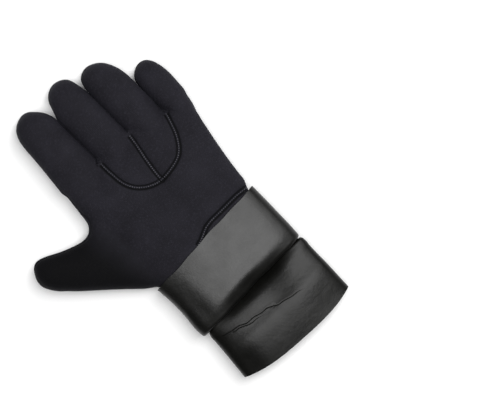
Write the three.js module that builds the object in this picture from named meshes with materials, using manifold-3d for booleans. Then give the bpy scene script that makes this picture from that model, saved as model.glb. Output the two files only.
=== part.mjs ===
import * as THREE from 'three';
import { LoftGeometry } from 'three/addons/geometries/LoftGeometry.js';
import { mergeVertices } from 'three/addons/utils/BufferGeometryUtils.js';
import Module from 'manifold-3d';

// Right-hand diving glove of thick foam rubber, lying palm down with its long cuff turned back once.
// Millimetres. x runs across the hand from the middle finger's centre line towards the little finger,
// y from the wrist seam towards the fingertips, z up from the floor.

const wasm = await Module();
wasm.setup();

// Walls and clearances
const handWall = 4;
const cuffWall = 2.5;
const sealWall = 2;
const foldSlot = 0.8;
const seamGap = 0.35;
const fingerGap = 0.8;

// Hand
const palmLength = 110;
const palmBreadth = 124;
const handDepth = 33;
const floorPress = 2;
const knuckleLine = 77;
const wristSlope = 0.05;

// Fingers and thumb: each reach is from the wrist seam to the tip, the thumb's from the centre line
const indexReach = 184;
const indexBreadth = 37;
const middleReach = 184;
const middleBreadth = 34.6;
const ringReach = 174.5;
const ringBreadth = 34;
const littleReach = 145;
const littleBreadth = 25.5;
const fingerDepth = 28;
const littleDepth = 25;
const fingerArch = 2.5;
const tipRounding = 20;
const thumbReach = 129;
const thumbRoot = 54;
const thumbDepth = 30;

// Cuffs: the turned one runs from its free edge to the fold, the seal shows on past the fold
const turnedCuffLength = 58;
const turnedCuffShort = 2.5;
const cuffBreadth = 121;
const cuffDepth = 34;
const sealShow = 61.5;
const sealDepth = 30;

// Seams between the panels
const palmEdgeHigh = 20;
const palmEdgeLow = 7;
const tongueDrop = 51;

// Mesh fineness, and how far cutting blocks run past the glove
const handSides = 24;
const fingerSides = 16;
const cuffSides = 30;
const beyond = 60;

// How square a section is: 2 is an ellipse, more is fuller at the corners
const handSquareness = 2.5;
const fingerSquareness = 2.3;
const cuffSquareness = 2.6;
const tipSquareness = 2.2;

// Places that follow from the sizes
const indexMiddle = -middleBreadth / 2 - fingerGap - indexBreadth / 2;
const ringMiddle = middleBreadth / 2 + fingerGap + ringBreadth / 2;
const littleMiddle = ringMiddle + ringBreadth / 2 + fingerGap + littleBreadth / 2;
const indexGroove = -middleBreadth / 2 - fingerGap / 2;
const ringGroove = middleBreadth / 2 + fingerGap / 2;
const littleGroove = littleMiddle - littleBreadth / 2 - fingerGap / 2;
const handAxis = handDepth / 2 - floorPress;
const cuffStack = 2 * cuffWall + foldSlot;
const foldLine = -turnedCuffShort - turnedCuffLength;

// Materials
const jersey = new THREE.MeshStandardMaterial({ color: 0x212025, roughness: 0.85, metalness: 0 });
const printedJersey = new THREE.MeshStandardMaterial({ color: 0x323137, roughness: 0.7, metalness: 0 });
const smoothSkin = new THREE.MeshStandardMaterial({ color: 0x4b4a46, roughness: 0.5, metalness: 0 });

// Palm and back outline, along as a share of the palm's length, left and right of its breadth,
// deep of the hand's depth
const PALM = [
  { along: -0.04, left: 0.485, right: 0.475, deep: 0.9 },
  { along: 0.17, left: 0.5, right: 0.493, deep: 0.97 },
  { along: 0.4, left: 0.5, right: 0.525, deep: 1 },
  { along: 0.63, left: 0.507, right: 0.565, deep: 1 },
  { along: 0.735, left: 0.5, right: 0.58, deep: 0.96 },
  { along: 0.83, left: 0.47, right: 0.53, deep: 0.88 },
  { along: 0.9, left: 0.43, right: 0.44, deep: 0.76 },
  { along: 1, left: 0.39, right: 0.39, deep: 0.56 },
];

// Finger outlines, along as a share of the way from the knuckles to the tip, left and right of the
// finger's own breadth
const INDEX = [
  { along: 0, left: 0.74, right: 0.5 },
  { along: 0.33, left: 0.595, right: 0.5 },
  { along: 0.5, left: 0.54, right: 0.5 },
  { along: 0.67, left: 0.5, right: 0.5 },
  { along: 0.81, left: 0.473, right: 0.473 },
  { along: 0.89, left: 0.42, right: 0.39 },
  { along: 0.953, left: 0.31, right: 0.25 },
  { along: 0.99, left: 0.15, right: 0.12 },
  { along: 1, left: 0.05, right: 0.04 },
];
const MIDDLE = [
  { along: 0, left: 0.5, right: 0.5 },
  { along: 0.4, left: 0.5, right: 0.5 },
  { along: 0.75, left: 0.5, right: 0.49 },
  { along: 0.86, left: 0.4, right: 0.445 },
  { along: 0.92, left: 0.34, right: 0.4 },
  { along: 0.965, left: 0.24, right: 0.31 },
  { along: 0.99, left: 0.12, right: 0.17 },
  { along: 1, left: 0.05, right: 0.06 },
];
const RING = [
  { along: 0, left: 0.5, right: 0.5 },
  { along: 0.4, left: 0.5, right: 0.5 },
  { along: 0.64, left: 0.5, right: 0.5 },
  { along: 0.77, left: 0.49, right: 0.46 },
  { along: 0.86, left: 0.48, right: 0.375 },
  { along: 0.925, left: 0.44, right: 0.27 },
  { along: 0.965, left: 0.37, right: 0.14 },
  { along: 0.99, left: 0.25, right: 0 },
  { along: 1, left: 0.17, right: -0.07 },
];
const LITTLE = [
  { along: 0, left: 0.5, right: 0.25 },
  { along: 0.12, left: 0.5, right: 0.37 },
  { along: 0.25, left: 0.5, right: 0.45 },
  { along: 0.47, left: 0.5, right: 0.49 },
  { along: 0.66, left: 0.495, right: 0.51 },
  { along: 0.79, left: 0.48, right: 0.47 },
  { along: 0.88, left: 0.44, right: 0.41 },
  { along: 0.94, left: 0.33, right: 0.325 },
  { along: 0.985, left: 0.17, right: 0.19 },
  { along: 1, left: 0.05, right: 0.07 },
];

// Thumb outline, along as a share of the way from its root to its tip, low and high as shares of the
// palm's length, deep of the thumb's depth
const THUMB = [
  { along: 0, low: -0.06, high: 0.74, deep: 1 },
  { along: 0.1, low: -0.03, high: 0.715, deep: 1 },
  { along: 0.145, low: 0, high: 0.672, deep: 1 },
  { along: 0.227, low: 0.055, high: 0.638, deep: 1 },
  { along: 0.387, low: 0.164, high: 0.655, deep: 0.99 },
  { along: 0.56, low: 0.273, high: 0.7, deep: 0.96 },
  { along: 0.733, low: 0.38, high: 0.76, deep: 0.91 },
  { along: 0.827, low: 0.445, high: 0.78, deep: 0.86 },
  { along: 0.893, low: 0.49, high: 0.768, deep: 0.79 },
  { along: 0.96, low: 0.555, high: 0.71, deep: 0.6 },
  { along: 0.992, low: 0.6, high: 0.664, deep: 0.35 },
  { along: 1, low: 0.618, high: 0.641, deep: 0.14 },
];

// Turned cuff, along as a share of its length from the wrist seam, left and right of half its breadth,
// deep of its depth, slope its line's fall across the hand
const TURNED_CUFF = [
  { along: 0, left: 0.998, right: 1.005, deep: 0.97, slope: 0.05 },
  { along: 0.3, left: 0.975, right: 1.003, deep: 0.99, slope: 0.045 },
  { along: 0.57, left: 0.98, right: 0.997, deep: 1, slope: 0.04 },
  { along: 0.83, left: 1.005, right: 0.99, deep: 1, slope: 0.035 },
  { along: 1, left: 0.997, right: 0.98, deep: 0.97, slope: 0.03 },
];

// Seal where it shows past the fold, along as a share of that length, left and right of half the
// cuff's breadth, deep of the seal's depth, tuck of the folded cuff's thickness under it, slope as
// above, bow the bend of its line as a share of its length
const SEAL = [
  { along: 0.08, left: 0.915, right: 0.93, deep: 0.93, tuck: 0.8, slope: 0.025, bow: 0 },
  { along: 0.2, left: 0.935, right: 0.975, deep: 0.94, tuck: 0.3, slope: 0.01, bow: 0.01 },
  { along: 0.35, left: 0.945, right: 0.985, deep: 0.97, tuck: 0, slope: -0.01, bow: 0.03 },
  { along: 0.5, left: 0.955, right: 0.98, deep: 1, tuck: 0, slope: -0.02, bow: 0.05 },
  { along: 0.75, left: 0.975, right: 0.97, deep: 0.98, tuck: 0, slope: -0.045, bow: 0.09 },
  { along: 1, left: 0.995, right: 0.96, deep: 0.92, tuck: 0, slope: -0.06, bow: 0.125 },
];

// Dents pressed into the top of the seal, across as a share of the cuff's breadth from its middle,
// along as in the table above, wide and long as shares of the breadth and the shown length, deep of
// the seal's depth
const SEAL_DENTS = [
  { across: 0.16, along: 0.2, wide: 0.2, long: 0.14, deep: 0.12 },
  { across: -0.12, along: 0.36, wide: 0.26, long: 0.07, deep: 0.06 },
];

// Seam round the raised tongue of the two middle fingers, from the first finger's groove to the
// little finger's: across runs from one groove to the other, down is a share of the tongue's drop
const TONGUE = [
  { across: 0, down: 0 },
  { across: 0.005, down: 0.3 },
  { across: 0.035, down: 0.62 },
  { across: 0.14, down: 0.85 },
  { across: 0.32, down: 0.99 },
  { across: 0.53, down: 1 },
  { across: 0.75, down: 0.91 },
  { across: 0.89, down: 0.68 },
  { across: 0.975, down: 0.37 },
  { across: 1, down: 0.22 },
];

// Seam between the two halves of the tongue, across as above
const TONGUE_MIDDLE = [
  { across: 0.395, down: 1.1 },
  { across: 0.4, down: 0.86 },
  { across: 0.43, down: 0.58 },
  { across: 0.475, down: 0.26 },
  { across: 0.5, down: 0 },
];

// A section's ring of points, from the side that `across` points away from, over the top
function ring(middle, across, left, right, top, bottom, sides, squareness) {
  const points = [];
  for (let i = 0; i < sides; i++) {
    const turn = (i / sides) * 2 * Math.PI;
    const sideways = -Math.sign(Math.cos(turn)) * Math.abs(Math.cos(turn)) ** (2 / squareness);
    const upward = Math.sign(Math.sin(turn)) * Math.abs(Math.sin(turn)) ** (2 / squareness);
    const reach = sideways < 0 ? left : right;
    const rise = upward > 0 ? top : bottom;
    const point = middle.clone().addScaledVector(across, sideways * reach);
    point.z += upward * rise;
    points.push(point);
  }
  return points;
}

// A closed solid of a geometry's triangles, with vertices nearer than a tenth of a micrometre merged
function solidOf(geometry) {
  const mergeWithin = 1e-4;
  const plain = new THREE.BufferGeometry();
  plain.setAttribute('position', geometry.getAttribute('position'));
  plain.setIndex(geometry.index);
  const merged = mergeVertices(plain, mergeWithin);
  return new wasm.Manifold(
    new wasm.Mesh({
      numProp: 3,
      vertProperties: merged.attributes.position.array,
      triVerts: new Uint32Array(merged.index.array),
    })
  );
}

function meshOf(solid, name, material) {
  const cut = solid.getMesh();
  const geometry = new THREE.BufferGeometry();
  geometry.setAttribute('position', new THREE.BufferAttribute(new Float32Array(cut.vertProperties), 3));
  geometry.setIndex(new THREE.BufferAttribute(new Uint32Array(cut.triVerts), 1));
  geometry.computeVertexNormals();
  const mesh = new THREE.Mesh(geometry, material);
  mesh.name = name;
  return mesh;
}

function loft(rings) {
  return solidOf(new LoftGeometry(rings, { capStart: true, capEnd: true }));
}

// An upright prism over an outline seen from above
function prism(outline, low, high) {
  const shape = new THREE.Shape(outline);
  const geometry = new THREE.ExtrudeGeometry(shape, { depth: high - low, bevelEnabled: false });
  return geometry.translate(0, 0, low);
}

// How far a wall of this thickness moves a section's edge in, where the section may be narrow
function inset(half, wall) {
  const widestShare = 0.45;
  return Math.min(wall, half * widestShare);
}

// The palm and back as one filled form, its wall taken off where it is the hollow
function palmForm(wall) {
  const rings = PALM.map((row) => {
    const half = (row.deep * handDepth) / 2 - wall;
    const y = row.along * (palmLength - wall);
    return ring(
      new THREE.Vector3(0, y, handAxis),
      new THREE.Vector3(1, wristSlope * (1 - Math.max(row.along, 0)), 0),
      row.left * palmBreadth - wall,
      row.right * palmBreadth - wall,
      half,
      half,
      handSides,
      handSquareness
    );
  });
  return loft(rings);
}

// How high a limb's middle rests: a thinner tip lies between the floor and the limb's own middle
function restingMiddle(depth, half) {
  return (depth / 2 + half) / 2 - floorPress / 2;
}

// A finger as one filled form, standing on the palm's form
function fingerForm(outline, middle, breadth, depth, reach, wall) {
  const length = reach - knuckleLine;
  const leastShare = 0.12;
  const rings = outline.map((row) => {
    const fromTip = (1 - row.along) * length;
    const nose = 1 - Math.min(fromTip / tipRounding, 1);
    const roundShare = (1 - nose ** tipSquareness) ** (1 / tipSquareness);
    const fullHalf = (depth / 2) * Math.max(roundShare, leastShare);
    const arch = fingerArch * Math.sin(row.along * Math.PI) ** 2;
    const half = fullHalf - inset(fullHalf, wall);
    const left = row.left * breadth;
    const right = row.right * breadth;
    const edge = inset((left + right) / 2, wall);
    const x = middle + (right - left) / 2;
    const y = knuckleLine + row.along * (length - wall);
    return ring(
      new THREE.Vector3(x, y, restingMiddle(depth, fullHalf) + arch),
      new THREE.Vector3(1, 0, 0),
      (left + right) / 2 - edge,
      (left + right) / 2 - edge,
      half,
      half,
      fingerSides,
      fingerSquareness
    );
  });
  return loft(rings);
}

// The thumb, lofted sideways out of the hand. Its edges run aslant, so the wall moves them further
function thumbForm(wall) {
  const slant = 1.3;
  const rings = THUMB.map((row) => {
    const x = -thumbRoot - row.along * (thumbReach - thumbRoot - wall);
    const fullHalf = (row.deep * thumbDepth) / 2;
    const breadth = (row.high - row.low) * palmLength;
    const edge = breadth / 2 - inset(breadth / 2, wall * slant);
    const half = fullHalf - inset(fullHalf, wall);
    const y = ((row.high + row.low) / 2) * palmLength;
    return ring(
      new THREE.Vector3(x, y, restingMiddle(thumbDepth, fullHalf)),
      new THREE.Vector3(0, 1, 0),
      edge,
      edge,
      half,
      half,
      fingerSides,
      fingerSquareness
    );
  });
  return loft(rings);
}

// The whole hand as one filled form, its wall taken off where it is the hollow
function handForm(wall) {
  const index = fingerForm(INDEX, indexMiddle, indexBreadth, fingerDepth, indexReach, wall);
  const middle = fingerForm(MIDDLE, 0, middleBreadth, fingerDepth, middleReach, wall);
  const ringFinger = fingerForm(RING, ringMiddle, ringBreadth, fingerDepth, ringReach, wall);
  const little = fingerForm(LITTLE, littleMiddle, littleBreadth, littleDepth, littleReach, wall);
  return palmForm(wall).add(thumbForm(wall)).add(index).add(middle).add(ringFinger).add(little);
}

// Everything under a level, as wide as the whole glove
function under(level) {
  const size = 2 * (thumbReach + beyond) + indexReach;
  const block = new THREE.BoxGeometry(2 * size, 2 * size, beyond);
  return solidOf(block.translate(0, 0, level - beyond / 2));
}

// Everything on the cuff's side of the wrist seam
function behindWrist() {
  const far = thumbReach + beyond;
  const outline = [
    new THREE.Vector2(-far, -far * wristSlope),
    new THREE.Vector2(-far, -far),
    new THREE.Vector2(far, -far),
    new THREE.Vector2(far, far * wristSlope),
  ];
  return solidOf(prism(outline, -beyond, 2 * beyond));
}

function handShell() {
  const outside = handForm(0).subtract(under(0)).subtract(behindWrist());
  const hollow = handForm(handWall).subtract(under(handWall));
  return outside.subtract(hollow);
}

// The palm panel's share of the shell: it wraps up high on each finger's thumb side and stays low
// on the other. One saw-toothed profile runs along the fingers
function fingerTeeth() {
  const thumbEdge = palmBreadth * 0.54;
  const profile = new THREE.Shape([
    new THREE.Vector2(-thumbEdge, -beyond),
    new THREE.Vector2(littleMiddle + beyond, -beyond),
    new THREE.Vector2(littleMiddle + beyond, palmEdgeLow),
    new THREE.Vector2(littleMiddle + littleBreadth / 2, palmEdgeLow),
    new THREE.Vector2(littleGroove, palmEdgeHigh),
    new THREE.Vector2(littleGroove, palmEdgeLow),
    new THREE.Vector2(ringGroove, palmEdgeHigh),
    new THREE.Vector2(ringGroove, palmEdgeLow),
    new THREE.Vector2(indexGroove, palmEdgeHigh),
    new THREE.Vector2(indexGroove, palmEdgeLow),
    new THREE.Vector2(-thumbEdge, palmEdgeHigh),
  ]);
  const length = indexReach + beyond;
  const toothed = new THREE.ExtrudeGeometry(profile, { depth: length, bevelEnabled: false });
  return toothed.rotateX(Math.PI / 2).translate(0, length + knuckleLine - handWall, 0);
}

// A slab under the thumb that leans up to the thumb's upper edge, turned to the thumb's own line
function thumbSlab() {
  const length = thumbReach - palmBreadth / 2 + beyond;
  const above = palmLength * 0.33;
  const below = palmLength * 0.55;
  const lean = Math.atan2(palmEdgeHigh - palmEdgeLow, palmLength * 0.6);
  const thumbLine = -Math.PI / 6;
  const slab = new THREE.BoxGeometry(length, above + below, beyond);
  slab.translate(-length / 2, (above - below) / 2, -beyond / 2);
  slab.rotateX(lean).rotateZ(thumbLine);
  return slab.translate(-palmBreadth * 0.42, palmLength * 0.27, (palmEdgeHigh + palmEdgeLow) / 2);
}

// A low slab under the palm, short of the thumb's
function palmSlab() {
  const slab = new THREE.BoxGeometry(2 * palmBreadth, knuckleLine + beyond, beyond);
  return slab.translate(palmBreadth * 0.6, (knuckleLine - beyond) / 2, palmEdgeLow - beyond / 2);
}

// The three together, as they are or grown upwards and to all sides by the seam's gap
function palmSide(gap) {
  const sides = gap ? [[1, 0], [-1, 0], [0, 1], [0, -1]] : [[0, 0]];
  const solids = [];
  for (const block of [fingerTeeth(), thumbSlab(), palmSlab()]) {
    for (const [x, y] of sides) solids.push(solidOf(block.clone().translate(x * gap, y * gap, gap)));
  }
  return solids.reduce((whole, solid) => whole.add(solid));
}

// A smooth seam seen from above, through the rows of its table
function seamPath(rows) {
  const tension = 0.5;
  const points = rows.map((row) => {
    const x = THREE.MathUtils.lerp(indexGroove, littleGroove, row.across);
    return new THREE.Vector3(x, palmLength - row.down * tongueDrop, 0);
  });
  return new THREE.CatmullRomCurve3(points, false, 'catmullrom', tension);
}

// The seam's points moved aside to the left of its run, closed through the far corners
function seamOutline(rows, steps, aside, corners) {
  const path = seamPath(rows);
  const outline = [];
  for (let i = 0; i <= steps; i++) {
    const at = path.getPoint(i / steps);
    const along = path.getTangent(i / steps);
    outline.push(new THREE.Vector2(at.x - along.y * aside, at.y + along.x * aside));
  }
  return outline.concat(corners);
}

// The tongue of the two middle fingers, moved out or in by a share of the seam's gap
function tongueBlock(aside) {
  const steps = 30;
  const far = indexReach + beyond;
  const corners = [new THREE.Vector2(littleGroove, far), new THREE.Vector2(indexGroove, far)];
  return solidOf(prism(seamOutline(TONGUE, steps, aside, corners), -beyond, 2 * beyond));
}

// One side of the tongue's middle seam
function tongueHalf(side) {
  const steps = 10;
  const halfGap = (side * seamGap) / 2;
  const far = side * (palmBreadth + beyond);
  const top = indexReach + beyond;
  const corners = [
    new THREE.Vector2(ringGroove - halfGap, top),
    new THREE.Vector2(-far, top),
    new THREE.Vector2(-far, -beyond),
  ];
  return solidOf(prism(seamOutline(TONGUE_MIDDLE, steps, halfGap, corners), -beyond, 2 * beyond));
}

// A row between two rows of a cuff's table
function rowAt(rows, along) {
  const next = Math.max(1, rows.findIndex((row) => row.along >= along));
  const a = rows[next - 1];
  const b = rows[next];
  const share = (along - a.along) / (b.along - a.along);
  const row = {};
  for (const column of Object.keys(a)) row[column] = THREE.MathUtils.lerp(a[column], b[column], share);
  return row;
}

// A ring of the turned cuff, so far in from its outer face, flat where it lies on the floor
function cuffRing(along, inward) {
  const row = rowAt(TURNED_CUFF, along);
  const half = (row.deep * cuffDepth) / 2;
  const y = -along * (turnedCuffLength + turnedCuffShort);
  const points = ring(
    new THREE.Vector3(0, y, half),
    new THREE.Vector3(1, row.slope, 0),
    (row.left * cuffBreadth) / 2 - inward,
    (row.right * cuffBreadth) / 2 - inward,
    half - inward,
    half + floorPress,
    cuffSides,
    cuffSquareness
  );
  for (const point of points) point.z = Math.max(point.z, inward);
  return points;
}

// The turned cuff's form filled to a depth inwards, run on past its ends
function cuffForm(inward, start, end, pastFold, pastWrist) {
  const steps = 5;
  const rings = [];
  for (let i = steps; i >= 0; i--) {
    rings.push(cuffRing(THREE.MathUtils.lerp(start, end, i / steps), inward));
  }
  for (const point of rings[0]) point.y -= pastFold;
  for (const point of rings[steps]) point.y += pastWrist;
  return loft(rings);
}

// Its outside with the rounded fold
function cuffOutside(start, foldStart) {
  const rings = [];
  const noseSteps = 4;
  const noseDepth = cuffStack * 0.35;
  for (let i = noseSteps; i > 0; i--) {
    const turn = (i / noseSteps) * (Math.PI / 2);
    const inward = (1 - Math.cos(turn)) * noseDepth;
    rings.push(cuffRing(THREE.MathUtils.lerp(foldStart, 1, Math.sin(turn)), inward));
  }
  const steps = 5;
  for (let i = steps; i >= 0; i--) {
    rings.push(cuffRing(THREE.MathUtils.lerp(start, foldStart, i / steps), 0));
  }
  return loft(rings);
}

// Two layers round the bore, joined at the fold. The outer one ends short of the wrist seam
function turnedCuff() {
  const whole = turnedCuffLength + turnedCuffShort;
  const wristEnd = seamGap / whole;
  const noseLength = 1.6 * cuffWall;
  const foldStart = 1 - noseLength / whole;
  const outside = cuffOutside(wristEnd, foldStart);
  const bore = cuffForm(cuffStack, wristEnd, 1, cuffWall, cuffWall);
  const slotOutside = cuffForm(cuffWall, wristEnd, foldStart, 0, cuffWall);
  const slotInside = cuffForm(cuffWall + foldSlot, wristEnd, foldStart, cuffWall, 2 * cuffWall);
  const slotMiddle = cuffForm(cuffWall + foldSlot / 2, wristEnd, foldStart, cuffWall, 2 * cuffWall);

  const far = cuffBreadth;
  const slope = TURNED_CUFF[0].slope;
  const beforeEdge = prism(
    [
      new THREE.Vector2(-far, -turnedCuffShort - slope * far),
      new THREE.Vector2(far, -turnedCuffShort + slope * far),
      new THREE.Vector2(far, far),
      new THREE.Vector2(-far, far),
    ],
    -beyond,
    2 * beyond
  );
  const shortened = solidOf(beforeEdge).subtract(slotMiddle);
  return outside.subtract(bore).subtract(slotOutside.subtract(slotInside)).subtract(shortened);
}

// How far the seal's top is pressed in at a place
function dentAt(across, along) {
  let depth = 0;
  for (const dent of SEAL_DENTS) {
    const aside = (across - dent.across) / dent.wide;
    const off = (along - dent.along) / dent.long;
    depth += dent.deep * sealDepth * Math.exp(-(aside ** 2) - off ** 2);
  }
  return depth;
}

// Where a row of the seal lies at a place across it: aslant, and bent back at both sides
function sealLine(row, x) {
  const bend = row.bow * sealShow * Math.abs((2 * x) / cuffBreadth) ** 3;
  return foldLine - row.along * sealShow + row.slope * x + bend;
}

// A ring of the seal past the fold, so far in from its outer face
function sealRing(row, inward) {
  const tuck = row.tuck * (cuffStack + seamGap);
  const half = (row.deep * sealDepth - tuck / 2) / 2;
  const points = ring(
    new THREE.Vector3(0, 0, tuck + half),
    new THREE.Vector3(1, 0, 0),
    (row.left * cuffBreadth) / 2 - inward,
    (row.right * cuffBreadth) / 2 - inward,
    half - inward,
    half + floorPress,
    cuffSides,
    cuffSquareness
  );
  for (const point of points) {
    const topShare = Math.max(0, (point.z - tuck - half) / half);
    point.z -= topShare * dentAt(point.x / cuffBreadth, row.along);
    point.z = Math.max(point.z, tuck + inward);
    point.y = sealLine(row, point.x);
  }
  return points;
}

// Everything past the seal's bowed end
function pastSealEnd() {
  const end = SEAL[SEAL.length - 1];
  const steps = 16;
  const outline = [];
  for (let i = 0; i <= steps; i++) {
    const x = THREE.MathUtils.lerp(-cuffBreadth, cuffBreadth, i / steps) * 0.55;
    outline.push(new THREE.Vector2(x, sealLine(end, x)));
  }
  const far = foldLine - sealShow - beyond;
  outline.push(new THREE.Vector2(cuffBreadth, far), new THREE.Vector2(-cuffBreadth, far));
  return solidOf(prism(outline, -beyond, 2 * beyond));
}

// The seal runs under the turned cuff to the wrist seam, and on past the fold to its bowed end
function seal() {
  const outside = [];
  const inside = [];
  const spare = 5 * sealWall;
  const shown = [1, 0.85, 0.7, 0.55, 0.44, 0.35, 0.27, 0.2, 0.14, 0.08];
  for (const along of shown) {
    outside.push(sealRing(rowAt(SEAL, along), 0));
    inside.push(sealRing(rowAt(SEAL, along), sealWall));
  }
  const whole = turnedCuffLength + turnedCuffShort;
  const hidden = 3;
  for (let i = hidden; i >= 0; i--) {
    const along = Math.max(i / hidden, seamGap / whole);
    outside.push(cuffRing(along, cuffStack + seamGap));
    inside.push(cuffRing(along, cuffStack + seamGap + sealWall));
  }
  for (const point of outside[0]) point.y -= spare;
  for (const point of inside[0]) point.y -= 2 * spare;
  for (const point of inside[inside.length - 1]) point.y += sealWall;
  return loft(outside).subtract(loft(inside)).subtract(pastSealEnd());
}

const shell = handShell();
const upper = shell.subtract(palmSide(seamGap));
const tongue = upper.intersect(tongueBlock(seamGap / 2));

const glove = new THREE.Group();
glove.add(meshOf(shell.intersect(palmSide(0)), 'palm_panel', printedJersey));
glove.add(meshOf(upper.subtract(tongueBlock(-seamGap / 2)), 'back_panel', jersey));
glove.add(meshOf(tongue.intersect(tongueHalf(1)), 'middle_finger_panel', jersey));
glove.add(meshOf(tongue.intersect(tongueHalf(-1)), 'ring_finger_panel', jersey));
glove.add(meshOf(turnedCuff(), 'outer_cuff', smoothSkin));
glove.add(meshOf(seal(), 'inner_cuff', smoothSkin));

// The origin is under the middle of the whole glove
const centre = new THREE.Box3().setFromObject(glove).getCenter(new THREE.Vector3());
glove.position.set(-centre.x, -centre.y, 0);

export default glove;
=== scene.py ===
"""Right-hand diving glove of foam rubber, lying palm down, its long cuff turned back over a seal cuff."""

import math

import bmesh
import bpy
import numpy as np
from mathutils import Matrix, Vector
from mathutils.bvhtree import BVHTree


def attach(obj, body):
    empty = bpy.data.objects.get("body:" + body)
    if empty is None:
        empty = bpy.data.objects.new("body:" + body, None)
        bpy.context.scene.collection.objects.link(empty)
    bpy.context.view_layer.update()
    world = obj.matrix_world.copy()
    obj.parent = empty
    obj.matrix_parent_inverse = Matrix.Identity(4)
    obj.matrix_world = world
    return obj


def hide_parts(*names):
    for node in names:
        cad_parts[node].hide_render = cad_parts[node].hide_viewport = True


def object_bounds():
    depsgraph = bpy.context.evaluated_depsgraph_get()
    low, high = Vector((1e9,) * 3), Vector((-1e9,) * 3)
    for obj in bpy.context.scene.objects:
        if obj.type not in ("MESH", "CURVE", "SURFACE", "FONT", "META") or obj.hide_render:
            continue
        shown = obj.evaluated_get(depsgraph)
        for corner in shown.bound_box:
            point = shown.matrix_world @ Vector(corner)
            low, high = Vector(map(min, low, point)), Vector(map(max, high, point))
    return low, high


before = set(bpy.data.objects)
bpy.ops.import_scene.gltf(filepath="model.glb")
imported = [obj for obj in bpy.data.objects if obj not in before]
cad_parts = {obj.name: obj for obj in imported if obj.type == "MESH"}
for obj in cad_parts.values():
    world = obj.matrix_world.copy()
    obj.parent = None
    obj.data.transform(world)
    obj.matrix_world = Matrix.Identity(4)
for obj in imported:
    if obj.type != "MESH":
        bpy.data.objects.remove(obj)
cad_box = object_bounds()

# Sizes in millimetres, in the glove's own frame: x from the middle finger's centre line towards the
# little finger, y from the wrist seam towards the fingertips, z up from the floor
MM = 0.001
HAND_WALL = 3.8
CUFF_WALL = 2.4
SEAL_WALL = 1.9
FOLD_SLOT = 0.9
PALM_LENGTH = 110
PALM_BREADTH = 124
HAND_DEPTH = 33
FLOOR_PRESS = 2
KNUCKLE_LINE = 77
WRIST_SLOPE = 0.05
FINGER_GAP = 0.8
FINGER_DEPTH = 28
LITTLE_DEPTH = 25
FINGER_ARCH = 2.5
TIP_ROUNDING = 20
INDEX_REACH = 184
MIDDLE_REACH = 184
RING_REACH = 174.5
LITTLE_REACH = 145
INDEX_BREADTH = 37
MIDDLE_BREADTH = 34.6
RING_BREADTH = 34
LITTLE_BREADTH = 25.5
THUMB_REACH = 129
THUMB_ROOT = 54
THUMB_DEPTH = 30
TURNED_CUFF_LENGTH = 58
TURNED_CUFF_SHORT = 2.5
CUFF_BREADTH = 121
CUFF_DEPTH = 34
SEAL_SHOW = 61.5
SEAL_DEPTH = 30
PALM_EDGE_HIGH = 20
PALM_EDGE_LOW = 7
TONGUE_DROP = 51
STITCH_PITCH = 2
STITCH_SIZE = (1.5, 0.75, 0.45)
PRINT_PITCH = 3.5
PRINT_DOT = 1.8
PRINT_HEIGHT = 0.7
HAND_END = -3.8
WRIST_TUCK = 3.4
WRIST_TUCK_TOP = 0.7
FOLD_DROP = 3.4
FLOOR_GAP = 0.15
PALM_LEVEL = 0.6
LOWEST = 0.5
CREASE_LIP = 0.1
CREASE_DEPTH = 0.55
CREASE_HALF = 0.34
RIB_PITCH = 1.1
# The palm's form starts this share of its length before the wrist seam, so that the cut there is clean
PALM_START = -0.14
# Squareness of the sections: 2 is an oval, and more is squarer
PALM_SQUARENESS = 2.5
LIMB_SQUARENESS = 2.3
TIP_SQUARENESS = 2.2
CUFF_SQUARENESS = 2.6
# A seam on the back of the hand: its ridge, the furrow on each side of it and the puffed valley round it
RIDGE_HEIGHT = 0.9
RIDGE_HALF = 0.7
FURROW_AWAY = 1.6
FURROW_DEPTH = 0.4
VALLEY_DEPTH = 1.2
VALLEY_HALF = 3.2
# The same on the glove's sides, where the palm panel meets the back
SIDE_RIDGE_HEIGHT = 0.35
SIDE_FURROW_DEPTH = 0.3
SIDE_FURROW_AWAY = 1.7

# The remesh can't keep walls nearer than its voxel apart, so the fingers start slimmer by CLOSING on each
# side. After it they close up, and PRESSED is how far each one is then pressed against the next
VOXEL = 1.15
CLOSING = 0.9
PRESSED = 0.7

INDEX_MIDDLE = -MIDDLE_BREADTH / 2 - FINGER_GAP - INDEX_BREADTH / 2
RING_MIDDLE = MIDDLE_BREADTH / 2 + FINGER_GAP + RING_BREADTH / 2
LITTLE_MIDDLE = RING_MIDDLE + RING_BREADTH / 2 + FINGER_GAP + LITTLE_BREADTH / 2
INDEX_GROOVE = -MIDDLE_BREADTH / 2 - FINGER_GAP / 2
RING_GROOVE = MIDDLE_BREADTH / 2 + FINGER_GAP / 2
LITTLE_GROOVE = LITTLE_MIDDLE - LITTLE_BREADTH / 2 - FINGER_GAP / 2
HAND_AXIS = HAND_DEPTH / 2 - FLOOR_PRESS
CUFF_STACK = 2 * CUFF_WALL + FOLD_SLOT
FOLD_LINE = -TURNED_CUFF_SHORT - TURNED_CUFF_LENGTH
ORIGIN = np.array([cad_box[0].x / MM + THUMB_REACH, cad_box[1].y / MM - INDEX_REACH, 0])

# Outlines as shares of the named sizes. Palm: along its length, left and right of its breadth
PALM = [
    dict(along=-0.04, left=0.485, right=0.475, deep=0.9),
    dict(along=0.17, left=0.5, right=0.493, deep=0.97),
    dict(along=0.4, left=0.5, right=0.525, deep=1),
    dict(along=0.63, left=0.507, right=0.565, deep=1),
    dict(along=0.735, left=0.5, right=0.58, deep=0.96),
    dict(along=0.83, left=0.47, right=0.53, deep=0.88),
    dict(along=0.9, left=0.43, right=0.44, deep=0.76),
    dict(along=1, left=0.39, right=0.39, deep=0.56),
]
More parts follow.
